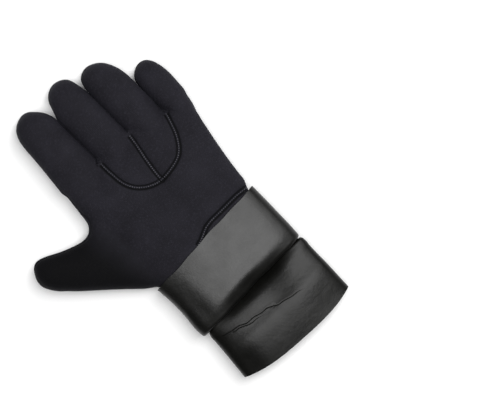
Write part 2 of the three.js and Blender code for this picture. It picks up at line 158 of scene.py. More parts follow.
# Fingers: along from the knuckles to the tip, left and right of the finger's breadth
INDEX = [
    dict(along=0, left=0.74, right=0.5),
    dict(along=0.33, left=0.595, right=0.5),
    dict(along=0.5, left=0.54, right=0.5),
    dict(along=0.67, left=0.5, right=0.5),
    dict(along=0.81, left=0.473, right=0.473),
    dict(along=0.89, left=0.42, right=0.39),
    dict(along=0.953, left=0.31, right=0.25),
    dict(along=0.99, left=0.15, right=0.12),
    dict(along=1, left=0.05, right=0.04),
]
MIDDLE = [
    dict(along=0, left=0.5, right=0.5),
    dict(along=0.4, left=0.5, right=0.5),
    dict(along=0.75, left=0.5, right=0.49),
    dict(along=0.86, left=0.4, right=0.445),
    dict(along=0.92, left=0.34, right=0.4),
    dict(along=0.965, left=0.24, right=0.31),
    dict(along=0.99, left=0.12, right=0.17),
    dict(along=1, left=0.05, right=0.06),
]
RING = [
    dict(along=0, left=0.5, right=0.5),
    dict(along=0.4, left=0.5, right=0.5),
    dict(along=0.64, left=0.5, right=0.5),
    dict(along=0.77, left=0.49, right=0.46),
    dict(along=0.86, left=0.48, right=0.375),
    dict(along=0.925, left=0.44, right=0.27),
    dict(along=0.965, left=0.37, right=0.14),
    dict(along=0.99, left=0.25, right=0),
    dict(along=1, left=0.17, right=-0.07),
]
LITTLE = [
    dict(along=0, left=0.5, right=0.25),
    dict(along=0.12, left=0.5, right=0.37),
    dict(along=0.25, left=0.5, right=0.45),
    dict(along=0.47, left=0.5, right=0.49),
    dict(along=0.66, left=0.495, right=0.51),
    dict(along=0.79, left=0.48, right=0.47),
    dict(along=0.88, left=0.44, right=0.41),
    dict(along=0.94, left=0.33, right=0.325),
    dict(along=0.985, left=0.17, right=0.19),
    dict(along=1, left=0.05, right=0.07),
]
# Thumb: along from its root to its tip, low and high of the palm's length, deep of its depth
THUMB = [
    dict(along=0, low=-0.06, high=0.74, deep=1),
    dict(along=0.1, low=-0.03, high=0.715, deep=1),
    dict(along=0.145, low=0, high=0.672, deep=1),
    dict(along=0.227, low=0.055, high=0.638, deep=1),
    dict(along=0.387, low=0.164, high=0.655, deep=0.99),
    dict(along=0.56, low=0.273, high=0.7, deep=0.96),
    dict(along=0.733, low=0.38, high=0.76, deep=0.91),
    dict(along=0.827, low=0.445, high=0.78, deep=0.86),
    dict(along=0.893, low=0.49, high=0.768, deep=0.79),
    dict(along=0.96, low=0.555, high=0.71, deep=0.6),
    dict(along=0.992, low=0.6, high=0.664, deep=0.35),
    dict(along=1, low=0.618, high=0.641, deep=0.14),
]
# Turned cuff: along from the wrist seam to the fold, left and right of half its breadth
TURNED_CUFF = [
    dict(along=0, left=0.998, right=1.005, deep=0.97, slope=0.05),
    dict(along=0.3, left=0.975, right=1.003, deep=0.99, slope=0.045),
    dict(along=0.57, left=0.98, right=0.997, deep=1, slope=0.04),
    dict(along=0.83, left=1.005, right=0.99, deep=1, slope=0.035),
    dict(along=1, left=0.997, right=0.98, deep=0.97, slope=0.03),
]
# Seal: along is -1 at the wrist seam, 0 at the fold and 1 at its end, tuck the share of the folded
# cuff's thickness under it, bow the bend of its line as a share of its shown length
SEAL = [
    dict(along=-1, left=0.89, right=0.895, deep=0.79, tuck=1, slope=0.05, bow=0),
    dict(along=-0.5, left=0.875, right=0.89, deep=0.82, tuck=1, slope=0.04, bow=0),
    dict(along=0, left=0.89, right=0.87, deep=0.79, tuck=1, slope=0.03, bow=0),
    dict(along=0.025, left=0.91, right=0.97, deep=0.8, tuck=0.9, slope=0.028, bow=0),
    dict(along=0.06, left=0.925, right=0.99, deep=0.82, tuck=0.75, slope=0.025, bow=0),
    dict(along=0.2, left=0.935, right=0.985, deep=0.89, tuck=0.3, slope=0.01, bow=0.01),
    dict(along=0.35, left=0.945, right=0.98, deep=0.955, tuck=0, slope=-0.01, bow=0.03),
    dict(along=0.5, left=0.955, right=0.98, deep=1, tuck=0, slope=-0.02, bow=0.05),
    dict(along=0.75, left=0.975, right=0.97, deep=0.98, tuck=0, slope=-0.045, bow=0.09),
    dict(along=1, left=0.995, right=0.96, deep=0.92, tuck=0, slope=-0.06, bow=0.125),
]
# Dents in the seal's top: places and reaches as shares of the breadth and of the shown length
SEAL_DENTS = [
    dict(across=0.05, along=-0.05, wide=0.4, long=0.12, deep=6),
    dict(across=0.16, along=-0.05, wide=0.12, long=0.35, deep=4),
    dict(across=0.36, along=0.85, wide=0.2, long=0.25, deep=1.2),
    dict(across=-0.42, along=0.8, wide=0.1, long=0.35, deep=2),
]
# Fine creases across the seal, as points of x and of the share along the shown length
SEAL_CREASES = [
    [(-51, 0.17), (-46, 0.21), (-36, 0.235), (-31, 0.26), (-26, 0.295), (-19, 0.31), (-11, 0.335),
     (-5, 0.35), (1, 0.385), (5, 0.425), (9, 0.44), (19, 0.475), (34, 0.53)],
    [(-41, 0.25), (-34, 0.275), (-26, 0.325), (-21, 0.35), (-13, 0.365), (-7, 0.38)],
]
# Bulges and hollows of the turned cuff's top
CUFF_SWELLS = [
    dict(across=0.2, along=0.92, wide=0.17, long=0.12, deep=-1),
    dict(across=-0.1, along=0.5, wide=0.3, long=0.3, deep=0.8),
    dict(across=-0.38, along=0.7, wide=0.07, long=0.5, deep=1.3),
    dict(across=0.3, along=0.35, wide=0.15, long=0.3, deep=-0.7),
]
# The wrist seam, as x and y. On the thumb's side it runs under the turned cuff's free edge
WRIST_SEAM = [(-10, -3.4), (-3, -1.6), (2, 0.6), (8, 3.2), (15, 4.2), (25, 4),
              (45, 4.1), (58, 2.6), (68, 1)]
# Seams on the back of the hand, across from the index groove to the little finger's, down of the drop
TONGUE_SEAM = [
    dict(across=0, down=0),
    dict(across=0.005, down=0.3),
    dict(across=0.035, down=0.62),
    dict(across=0.14, down=0.85),
    dict(across=0.32, down=0.99),
    dict(across=0.53, down=1),
    dict(across=0.75, down=0.91),
    dict(across=0.89, down=0.68),
    dict(across=0.975, down=0.37),
    dict(across=1, down=0.22),
]
MIDDLE_SEAM = [
    dict(across=0.395, down=1.02),
    dict(across=0.4, down=0.86),
    dict(across=0.43, down=0.58),
    dict(across=0.475, down=0.26),
    dict(across=0.5, down=0),
]


def to_row(points):
    """Points of the glove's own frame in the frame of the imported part, in metres."""
    return (np.asarray(points, dtype=float) + ORIGIN) * MM


def to_glove(points):
    return np.asarray(points, dtype=float) / MM - ORIGIN


def smooth_rows(rows, column, at, key="along"):
    """A column of a table at any places, on a smooth curve through its rows."""
    x = np.array([row[key] for row in rows], dtype=float)
    y = np.array([row[column] for row in rows], dtype=float)
    rise = np.diff(y) / np.diff(x)
    slope = np.concatenate([[rise[0]], (rise[:-1] + rise[1:]) / 2, [rise[-1]]])
    i = np.clip(np.searchsorted(x, at) - 1, 0, len(x) - 2)
    step = x[i + 1] - x[i]
    t = np.clip((at - x[i]) / step, 0, 1)
    return (
        (2 * t**3 - 3 * t**2 + 1) * y[i]
        + (t**3 - 2 * t**2 + t) * step * slope[i]
        + (3 * t**2 - 2 * t**3) * y[i + 1]
        + (t**3 - t**2) * step * slope[i + 1]
    )


def smooth_step(low, high, value):
    t = np.clip((value - low) / (high - low), 0, 1)
    return t * t * (3 - 2 * t)


def oval(turn, squareness):
    """Sideways and upward shares of a ring that starts on the left and goes over the top."""
    c, s = np.cos(turn), np.sin(turn)
    power = 2 / squareness
    return -np.sign(c) * np.abs(c) ** power, np.sign(s) * np.abs(s) ** power


def deselect():
    if bpy.context.object and bpy.context.object.mode != "OBJECT":
        bpy.ops.object.mode_set(mode="OBJECT")
    bpy.ops.object.select_all(action="DESELECT")


def make_active(*objects):
    deselect()
    for obj in objects:
        obj.select_set(True)
    bpy.context.view_layer.objects.active = objects[0]


def points_of(obj):
    flat = np.empty(len(obj.data.vertices) * 3)
    obj.data.vertices.foreach_get("co", flat)
    return flat.reshape(-1, 3)


def set_points(obj, points):
    obj.data.vertices.foreach_set("co", np.asarray(points).ravel())
    obj.data.update()


def normals_of(obj):
    flat = np.empty(len(obj.data.vertices) * 3)
    obj.data.vertex_normals.foreach_get("vector", flat)
    return flat.reshape(-1, 3)


def wrapped_sheet(name, round_steps, long_steps, place):
    """A flat grid wrapped round: place turns its shares (u round, v along) into glove points."""
    deselect()
    bpy.ops.mesh.primitive_grid_add(x_subdivisions=round_steps, y_subdivisions=long_steps, size=1)
    obj = bpy.context.object
    obj.name = name
    obj.data.name = name
    flat = points_of(obj)
    set_points(obj, to_row(place(flat[:, 0] + 0.5, flat[:, 1] + 0.5)))
    bpy.ops.object.mode_set(mode="EDIT")
    bpy.ops.mesh.select_all(action="SELECT")
    bpy.ops.mesh.remove_doubles(threshold=0.02 * MM)
    bpy.ops.mesh.normals_make_consistent(inside=False)
    bpy.ops.object.mode_set(mode="OBJECT")
    return obj


def apply_modifier(obj, kind, **settings):
    modifier = obj.modifiers.new(kind.lower(), kind)
    for key, value in settings.items():
        setattr(modifier, key, value)
    make_active(obj)
    bpy.ops.object.modifier_apply(modifier=modifier.name)


# The filled forms of the hand
def closed_ends(v):
    """Zero at a limb's two ends, so that they close on a point, and one between them."""
    return ((v > 1e-6) & (v < 1 - 1e-6)).astype(float)


def palm_points(u, v):
    along = PALM_START + v * (1 - PALM_START)
    sideways, upward = oval(u * 2 * math.pi, PALM_SQUARENESS)
    half = smooth_rows(PALM, "deep", along) * HAND_DEPTH / 2
    left = smooth_rows(PALM, "left", along) * PALM_BREADTH
    right = smooth_rows(PALM, "right", along) * PALM_BREADTH
    open_share = closed_ends(v)
    x = np.where(sideways < 0, left, right) * sideways * open_share
    y = along * PALM_LENGTH + WRIST_SLOPE * (1 - np.maximum(along, 0)) * x
    return np.stack([x, y, HAND_AXIS + upward * half * open_share], axis=1)


def finger_places(outline, middle, breadth, depth, reach):
    def place(u, v):
        along = 1 - (1 - v) ** 1.5
        length = reach - KNUCKLE_LINE
        sideways, upward = oval(u * 2 * math.pi, LIMB_SQUARENESS)
        nose = 1 - np.minimum((1 - along) * length / TIP_ROUNDING, 1)
        half = depth / 2 * np.maximum((1 - nose**TIP_SQUARENESS) ** (1 / TIP_SQUARENESS), 0.12)
        rest = (depth / 2 + half) / 2 - FLOOR_PRESS / 2
        arch = FINGER_ARCH * np.sin(along * math.pi) ** 2
        left = smooth_rows(outline, "left", along) * breadth
        right = smooth_rows(outline, "right", along) * breadth
        wide = np.maximum((left + right) / 2 - CLOSING, 0.5)
        open_share = closed_ends(v)
        x = middle + (right - left) / 2 + wide * sideways * open_share
        y = KNUCKLE_LINE + along * length
        return np.stack([x, y, rest + arch + upward * half * open_share], axis=1)

    return place


def thumb_points(u, v):
    along = 1 - (1 - v) ** 1.4
    sideways, upward = oval(u * 2 * math.pi, LIMB_SQUARENESS)
    low = smooth_rows(THUMB, "low", along) * PALM_LENGTH
    high = smooth_rows(THUMB, "high", along) * PALM_LENGTH
    half = smooth_rows(THUMB, "deep", along) * THUMB_DEPTH / 2
    rest = (THUMB_DEPTH / 2 + half) / 2 - FLOOR_PRESS / 2
    open_share = closed_ends(v)
    x = -THUMB_ROOT - along * (THUMB_REACH - THUMB_ROOT)
    y = (low + high) / 2 + (high - low) / 2 * sideways * open_share
    return np.stack([x, y, rest + upward * half * open_share], axis=1)


FINGERS = [
    ("index", INDEX, INDEX_MIDDLE, INDEX_BREADTH, FINGER_DEPTH, INDEX_REACH),
    ("middle", MIDDLE, 0, MIDDLE_BREADTH, FINGER_DEPTH, MIDDLE_REACH),
    ("ring", RING, RING_MIDDLE, RING_BREADTH, FINGER_DEPTH, RING_REACH),
    ("little", LITTLE, LITTLE_MIDDLE, LITTLE_BREADTH, LITTLE_DEPTH, LITTLE_REACH),
]


def close_fingers(points):
    """Widens each finger about its own middle, past the crotches, until the gaps are narrow."""
    x, y = points[:, 0], points[:, 1]
    edges = [-1e3, INDEX_GROOVE, RING_GROOVE, LITTLE_GROOVE, 1e3]
    moved = x.copy()
    for (name, _, middle, breadth, *_), low, high in zip(FINGERS, edges, edges[1:]):
        crotch = PALM_LENGTH - (12 if name == "little" else 2)
        mine = (x > low) & (x <= high) & ((x > INDEX_MIDDLE - INDEX_BREADTH * 0.75) | (y > PALM_LENGTH))
        grown = (breadth + 2 * PRESSED) / (breadth - 2 * CLOSING) - 1
        share = smooth_step(crotch - 4, crotch + 5, y)
        wide = np.clip(x + (x - middle) * grown * share, low + 0.04, high - 0.04)
        moved = np.where(mine, wide, moved)
    points[:, 0] = moved
    return points


def press_on_floor(points):
    """Flattens softly whatever would lie below the palm's level."""
    soft = 0.6
    z = (points[:, 2] - PALM_LEVEL) / soft
    points[:, 2] = PALM_LEVEL + soft * np.where(z > 20, z, np.log1p(np.exp(np.minimum(z, 20))))
    return points


def tuck_wrist(points):
    """Draws the hand's end in all round, so that it goes under the turned cuff."""
    x, y, z = points.T
    pull = 1 - smooth_step(HAND_END, 8, y - WRIST_SLOPE * x)
    over = z > HAND_AXIS
    lift = (z - HAND_AXIS) / np.where(over, HAND_DEPTH / 2, HAND_AXIS)
    aside = np.sign(x) * np.minimum(np.abs(x) / (PALM_BREADTH * 0.48), 1) ** 6
    points[:, 0] = x - WRIST_TUCK * pull * aside
    points[:, 2] = z - pull * np.where(over, WRIST_TUCK_TOP, WRIST_TUCK) * lift
    return points


def smooth_part(obj, name, weights, iterations):
    """Smooths one part of a mesh, where its weights are over zero."""
    group = obj.vertex_groups.new(name=name)
    for index in np.nonzero(weights > 0)[0]:
        group.add([int(index)], float(weights[index]), "REPLACE")
    apply_modifier(obj, "SMOOTH", factor=0.5, iterations=iterations, vertex_group=name)


def hand_body():
    """The whole hand as one skin: its limbs fused, smoothed, laid on the floor and cut at the wrist."""
    limbs = [
        wrapped_sheet("palm_form", 64, 60, palm_points),
        wrapped_sheet("thumb_form", 48, 60, thumb_points),
    ]
    for name, *finger in FINGERS:
        limbs.append(wrapped_sheet(name + "_form", 48, 70, finger_places(*finger)))
    make_active(*limbs)
    bpy.ops.object.join()
    body = bpy.context.object
    body.name = "hand_body"
    apply_modifier(body, "REMESH", mode="VOXEL", voxel_size=VOXEL * MM, adaptivity=0)
    apply_modifier(body, "SMOOTH", factor=0.5, iterations=10)
    x, y, z = to_glove(points_of(body)).T
    root = smooth_step(-88, -70, x) * (1 - smooth_step(-34, -18, x))
    root *= smooth_step(HAND_AXIS - 4, HAND_AXIS, z)
    root *= 1 - smooth_step(PALM_LENGTH * 0.7, PALM_LENGTH * 0.9, y)
    smooth_part(body, "thumb_root", root, iterations=160)
    x, y, z = to_glove(points_of(body)).T
    outer_sides = smooth_step(LITTLE_MIDDLE - 6, LITTLE_MIDDLE, x) + 1 - smooth_step(-50, -44, x)
    at_knuckles = smooth_step(58, 68, y) * (1 - smooth_step(90, 102, y))
    low_down = 1 - smooth_step(8, 12, z)
    smooth_part(body, "knuckle_sides", outer_sides * at_knuckles * low_down, iterations=80)
    points = tuck_wrist(press_on_floor(close_fingers(to_glove(points_of(body)))))
    set_points(body, to_row(points))
    make_active(body)
    bpy.ops.object.mode_set(mode="EDIT")
    bpy.ops.mesh.select_all(action="SELECT")
    turn = math.atan(WRIST_SLOPE)
    bpy.ops.mesh.bisect(
        plane_co=to_row([[0, HAND_END, 0]])[0],
        plane_no=(-math.sin(turn), math.cos(turn), 0),
        clear_inner=True,
    )
    bpy.ops.object.mode_set(mode="OBJECT")
    return body


# Seams, as fields that are zero on the seam and grow with the distance from it
def seam_points(rows, steps):
    down = np.linspace(0, len(rows) - 1, steps)
    numbered = [dict(row, number=i) for i, row in enumerate(rows)]
    across = smooth_rows(numbered, "across", down, "number")
    drop = smooth_rows(numbered, "down", down, "number")
    x = INDEX_GROOVE + (LITTLE_GROOVE - INDEX_GROOVE) * across
    return np.stack([x, PALM_LENGTH - drop * TONGUE_DROP], axis=1)


def distance_to(path, points):
    """Each point's distance to a path seen from above, and how far along the path that is."""
    best = np.full(len(points), 1e9)
    where = np.zeros(len(points))
    run = 0.0
    for a, b in zip(path, path[1:]):
        edge = b - a
        length = float(np.hypot(*edge))
        t = np.clip(((points - a) @ edge) / length**2, 0, 1)
        gap = np.hypot(*(points - a - t[:, None] * edge).T)
        nearer = gap < best
        best = np.where(nearer, gap, best)
        where = np.where(nearer, run + t * length, where)
        run += length
    return best, where


def inside(outline, points):
    """Whether points lie inside a closed outline seen from above."""
    x, y = points[:, 0], points[:, 1]
    result = np.zeros(len(points), dtype=bool)
    for a, b in zip(outline, np.roll(outline, -1, axis=0)):
        crosses = (a[1] > y) != (b[1] > y)
        at = a[0] + (y - a[1]) * (b[0] - a[0]) / (b[1] - a[1] if b[1] != a[1] else 1)
        result ^= crosses & (x < at)
    return result


FAR = 260
TONGUE_PATH = seam_points(TONGUE_SEAM, 70)
MIDDLE_PATH = np.concatenate([seam_points(MIDDLE_SEAM, 30), [[RING_GROOVE, FAR]]])
WRIST_PATH = np.array(WRIST_SEAM, dtype=float)
TONGUE_EDGE = np.concatenate([[[INDEX_GROOVE, FAR]], TONGUE_PATH, [[LITTLE_GROOVE, FAR]]])
TONGUE_OUTLINE = np.concatenate([TONGUE_PATH, [[LITTLE_GROOVE, FAR], [INDEX_GROOVE, FAR]]])
LEFT_OUTLINE = np.concatenate([MIDDLE_PATH, [[-FAR, FAR], [-FAR, 0]]])


def tongue_field(points):
    gap, _ = distance_to(TONGUE_EDGE, points[:, :2])
    return np.where(inside(TONGUE_OUTLINE, points[:, :2]), -gap, gap)


def middle_field(points):
    gap, _ = distance_to(MIDDLE_PATH, points[:, :2])
    return np.where(inside(LEFT_OUTLINE, points[:, :2]), -gap, gap)


def palm_field(points):
    """Height over the line where the palm panel meets the back, high on each finger's thumb side."""
    x, y, z = points.T
    low, high = PALM_EDGE_LOW, PALM_EDGE_HIGH
    index_left = INDEX_MIDDLE - INDEX_BREADTH / 2
    edges = [
        (index_left, INDEX_GROOVE, 18 - 4 * smooth_step(PALM_LENGTH, INDEX_REACH - 20, y)),
        (INDEX_GROOVE, RING_GROOVE, 16),
        (RING_GROOVE, LITTLE_GROOVE, 16),
        (LITTLE_GROOVE, LITTLE_GROOVE + LITTLE_BREADTH, 14),
    ]
    level = np.full(len(points), float(low))
    for left, right, top in edges:
        share = np.clip((x - left) / (right - left), 0, 1)
        tooth = smooth_step(left - 1, left + 1, x) if left > index_left else 1.0
        level = np.where(x > left - 1, level + tooth * (top + (low - top) * share - level), level)
    level = np.where(x < index_left, edges[0][2], level)
    aside = (x + PALM_BREADTH * 0.42) * 0.5 + (y - PALM_LENGTH * 0.27) * 0.866
    slope = (high - low) / (PALM_LENGTH * 0.6)
    thumb_level = (high + low) / 2 + aside * slope
    thumb_share = 1 - smooth_step(-PALM_BREADTH * 0.52, -PALM_BREADTH * 0.42, x)
    thumb_share *= 1 - smooth_step(PALM_LENGTH * 0.7, PALM_LENGTH * 0.8, y)
    at_fingers = smooth_step(KNUCKLE_LINE - 12, KNUCKLE_LINE, y)
    level = low + (level - low) * at_fingers
    return z - (level + (thumb_level - level) * thumb_share)


def refine(body, keep, rounds):
    """Halves the edges in the places that keep picks, so that a seam's relief has room."""
    for _ in range(rounds):
        mesh = bmesh.new()
        mesh.from_mesh(body.data)
        mesh.verts.ensure_lookup_table()
        picked = keep(to_glove([v.co for v in mesh.verts]))
        edges = [e for e in mesh.edges if picked[e.verts[0].index] and picked[e.verts[1].index]]
        bmesh.ops.subdivide_edges(mesh, edges=edges, cuts=1, use_grid_fill=True)
        mesh.to_mesh(body.data)
        mesh.free()
        body.data.update()


def cut_along(body, field, where=None):
    """Splits the faces that a seam crosses, so that panels part exactly on it."""
    mesh = bmesh.new()
    mesh.from_mesh(body.data)
    places = to_glove([v.co for v in mesh.verts])
    value = field(places)
    value = np.where(np.abs(value) < 0.02, 0.02, value)
    wanted = np.ones(len(value), dtype=bool) if where is None else where(places)
    mesh.edges.ensure_lookup_table()
    crossing = []
    for edge in mesh.edges:
        a, b = edge.verts[0].index, edge.verts[1].index
        if value[a] * value[b] < 0 and wanted[a] and wanted[b]:
            crossing.append((edge, edge.verts[0], value[a] / (value[a] - value[b])))
    fresh = set()
    for edge, vert, share in crossing:
        fresh.add(bmesh.utils.edge_split(edge, vert, share)[1])
    for face in list(mesh.faces):
        on_seam = [v for v in face.verts if v in fresh]
        if len(on_seam) == 2:
            bmesh.utils.face_split(face, on_seam[0], on_seam[1])
    mesh.to_mesh(body.data)
    mesh.free()
    body.data.update()


def relief(points, normals):
    """Raised butt seams in a puffed valley, with a furrow on each side, as height and two masks: one for
    the ridge, painted lighter as sheen and dotted where the thread crosses, and one for the furrows,
    painted dark as shade.
    """
    field = palm_field(points)
    upper = smooth_step(0.2, 1.5, field)
    height = np.zeros(len(points))
    ridge = np.zeros(len(points))
    furrow = np.zeros(len(points))
    facing = smooth_step(0.45, 0.8, normals[:, 2])
    outer = tongue_field(points) > 0
    wrist_share = smooth_step(0.3, 0.6, normals[:, 2])
    for path, share, first, last in (
        (TONGUE_PATH, upper * facing, 3, 0),
        (MIDDLE_PATH[:-1], upper * facing, -9, 3),
        (WRIST_PATH, wrist_share, 0, -9),
    ):
        gap, run = distance_to(path, points[:, :2])
        rest = np.hypot(*np.diff(path, axis=0).T).sum() - run
        puff = share * smooth_step(first - 3, first + 1, run) * smooth_step(last - 3, last + 1, rest)
        share = share * smooth_step(first, first + 3, run) * smooth_step(last, last + 3, rest)
        beat = 0.5 + 0.5 * np.cos(run * 2 * math.pi / STITCH_PITCH)
        beside = np.exp(-(((gap - FURROW_AWAY) / np.where(outer, 1, 0.7)) ** 2))
        raised = share * RIDGE_HEIGHT * np.exp(-((gap / RIDGE_HALF) ** 2))
        height += raised - puff * VALLEY_DEPTH * np.exp(-((gap / VALLEY_HALF) ** 2))
        height -= share * FURROW_DEPTH * beside
        # Ridge mask: painted sheen on the bulge, dotted at the stitch pitch like the thread. Furrow mask:
        # painted shade
        ridge = np.maximum(ridge, share * (0.5 + 0.5 * beat) * np.exp(-((gap / 0.5) ** 2)))
        furrow = np.maximum(furrow, share * beside)
    side = np.abs(field)
    raised = SIDE_RIDGE_HEIGHT * np.exp(-((side / 0.8) ** 2))
    height += raised - SIDE_FURROW_DEPTH * np.exp(-(((side - SIDE_FURROW_AWAY) / 0.7) ** 2))
    # The same painted sheen and painted shade along the palm panel's edge
    ridge = np.maximum(ridge, 0.7 * np.exp(-((side / 0.75) ** 2)))
    furrow = np.maximum(furrow, 0.8 * np.exp(-(((side - SIDE_FURROW_AWAY) / 0.6) ** 2)))
    return height, ridge, furrow


def add_attribute(obj, name, values):
    attribute = obj.data.attributes.new(name, "FLOAT", "POINT")
    attribute.data.foreach_set("value", np.asarray(values, dtype=np.float32))


def panel_of(points):
    """Which panel each place belongs to: 0 palm, 1 back, 2 middle finger, 3 ring finger."""
    upper = palm_field(points) > 0
    tongue = tongue_field(points) < 0
    left = middle_field(points) < 0
    return np.where(~upper, 0, np.where(~tongue, 1, np.where(left, 2, 3)))


def take_panel(body, names, number, labels):
    """A copy of the body with one panel's faces only, thickened inwards to the wall."""
    obj = body.copy()
    obj.data = body.data.copy()
    obj.name = names[number]
    obj.data.name = names[number]
    bpy.context.collection.objects.link(obj)
    mesh = bmesh.new()
    mesh.from_mesh(obj.data)
    mesh.faces.ensure_lookup_table()
    gone = [face for face in mesh.faces if labels[face.index] != number]
    bmesh.ops.delete(mesh, geom=gone, context="FACES")
    mesh.to_mesh(obj.data)
    mesh.free()
    apply_modifier(obj, "SOLIDIFY", thickness=HAND_WALL * MM, offset=-1, use_even_offset=False)
    make_active(obj)
    bpy.ops.object.shade_smooth_by_angle(angle=math.radians(50))
    return obj


def hand_panels():
    """The hand's skin with its seams in relief, and the four panels that it is cut into."""
    body = hand_body()

    def near_seams(p):
        paths = (TONGUE_PATH, MIDDLE_PATH[:-1], WRIST_PATH)
        gap = np.min([distance_to(path, p[:, :2])[0] for path in paths], axis=0)
        return (gap < VALLEY_HALF) & (p[:, 2] > HAND_AXIS)

    def near_side(p):
        return (np.abs(palm_field(p)) < 3) | (distance_to(WRIST_PATH, p[:, :2])[0] < VALLEY_HALF)

    def above(p):
        return palm_field(p) > -1

    refine(body, near_seams, 2)
    refine(body, lambda p: near_side(p) & ~near_seams(p), 1)
    cut_along(body, palm_field)
    cut_along(body, tongue_field, above)
    cut_along(body, middle_field, lambda p: above(p) & (tongue_field(p) < 1))
    points = to_glove(points_of(body))
    normals = normals_of(body)
    height, ridge, furrow = relief(points, normals)
    points = points + normals * height[:, None]
    points[:, 2] = np.maximum(points[:, 2], LOWEST)
    set_points(body, to_row(points))
    # Masks of painted sheen on the seam ridges and painted shade in their furrows
    add_attribute(body, "seam_ridge_thread_and_sheen", ridge)
    add_attribute(body, "seam_furrow_shade", furrow)
    # Painted shade: the jersey darkens softly towards the thumb's side, where the light falls off
    painted_thumb_shade = 1 - smooth_step(-72, -32, points[:, 0] + 0.2 * points[:, 1])
    add_attribute(body, "painted_thumb_shade", painted_thumb_shade)
    centres = np.empty(len(body.data.polygons) * 3)
    body.data.polygons.foreach_get("center", centres)
    labels = panel_of(to_glove(centres.reshape(-1, 3)))
    names = ["palm_panel_soft", "back_panel_soft", "middle_finger_soft", "ring_finger_soft"]
    panels = [take_panel(body, names, number, labels) for number in range(4)]
    return body, panels


# Cuffs
def top_heavy_turn(u):
    """Round the section with two thirds of the columns over the top, where it shows."""
    over = 0.66
    return np.where(u < over, u / over, 1 + (u - over) / (1 - over)) * math.pi


def swell(rows, x, along, top_share):
    """How far a table of dents lowers a cuff's top at each place."""
    depth = np.zeros(len(x))
    for row in rows:
        aside = (x / CUFF_BREADTH - row["across"]) / row["wide"]
        off = (along - row["along"]) / row["long"]
        depth += row["deep"] * np.exp(-(aside**2) - off**2)
    return depth * top_share


def turned_cuff_points(u, v):
    """The fold: from the hand's end back under itself, round the fold and up to its free edge."""
    middle_out = CUFF_WALL / 2
    middle_in = CUFF_WALL * 1.5 + FOLD_SLOT
    radius = (middle_in - middle_out) / 2
    leg = TURNED_CUFF_LENGTH + TURNED_CUFF_SHORT - radius - CUFF_WALL / 2
    bend = math.pi * radius
    seam_gap = 0.4
    start = seam_gap - HAND_END
    run = start + v * (leg + bend + leg - TURNED_CUFF_SHORT - start)
    turn = np.clip((run - leg) / radius, 0, math.pi)
    sideways, upward = oval(top_heavy_turn(u), CUFF_SQUARENESS)
    square = 1 - 0.45 * np.abs(sideways) ** 6
    y = -np.minimum(run, leg) - radius * np.sin(turn) ** square + np.maximum(run - leg - bend, 0)
    inset = (middle_out + middle_in) / 2 + radius * np.sign(np.cos(turn)) * np.abs(np.cos(turn)) ** square
    outer = smooth_step(leg + bend * 0.4, leg + bend, run)
    whole = TURNED_CUFF_LENGTH + TURNED_CUFF_SHORT
    along = np.clip(-y / whole, 0, 1)
    half = smooth_rows(TURNED_CUFF, "deep", along) * CUFF_DEPTH / 2
    left = smooth_rows(TURNED_CUFF, "left", along) * CUFF_BREADTH / 2 - inset
    right = smooth_rows(TURNED_CUFF, "right", along) * CUFF_BREADTH / 2 - inset
    x = np.where(sideways < 0, left, right) * sideways
    z = half + np.where(upward > 0, half - inset, half + FLOOR_PRESS) * upward
    top_share = np.maximum(upward, 0) ** 1.5 * (0.15 + 0.85 * outer)
    z = z - swell(CUFF_SWELLS, x, along, top_share)
    fold_share = smooth_step(0.76, 1, along)
    z = z - FOLD_DROP * fold_share**1.3 * np.exp(-(((x - 4) / 42) ** 2)) * np.maximum(upward, 0) ** 1.5
    z = np.maximum(z, inset + FLOOR_GAP)
    wander = 0.5 * np.sin(x * 0.09 + 1) + 0.3 * np.sin(x * 0.23)
    edge_share = outer * (1 - smooth_step(0, 0.2, along))
    y = y + smooth_rows(TURNED_CUFF, "slope", along) * x + wander * (edge_share + fold_share)
    return np.stack([x, y, z], axis=1)


def seal_points(u, v):
    """The seal: from the wrist seam through the fold and on to its bowed end."""
    hidden_share = 0.22
    inside_part = v < hidden_share
    along = np.where(inside_part, v / hidden_share - 1, (v - hidden_share) / (1 - hidden_share))
    along = np.maximum(along, -0.99)
    inset = SEAL_WALL / 2
    row = {key: smooth_rows(SEAL, key, along) for key in SEAL[0] if key != "along"}
    tuck = row["tuck"] * (CUFF_STACK + 0.4)
    high = row["deep"] * SEAL_DEPTH + tuck / 2
    half = (high - tuck) / 2
    sideways, upward = oval(top_heavy_turn(u), CUFF_SQUARENESS)
    left = row["left"] * CUFF_BREADTH / 2 - inset
    right = row["right"] * CUFF_BREADTH / 2 - inset
    x = np.where(sideways < 0, left, right) * sideways
    z = tuck + half + np.where(upward > 0, half - inset, half + FLOOR_PRESS) * upward
    top_share = np.maximum(upward, 0) ** 1.5
    z = z - swell(SEAL_DENTS, x, along, top_share)
    z = np.maximum(z, tuck + inset + FLOOR_GAP)
    y = np.where(along < 0, FOLD_LINE * (1 + along), FOLD_LINE - along * SEAL_SHOW)
    y = y + row["slope"] * x + row["bow"] * SEAL_SHOW * np.abs(x / (CUFF_BREADTH / 2)) ** 3
    return np.stack([x, y, z], axis=1)


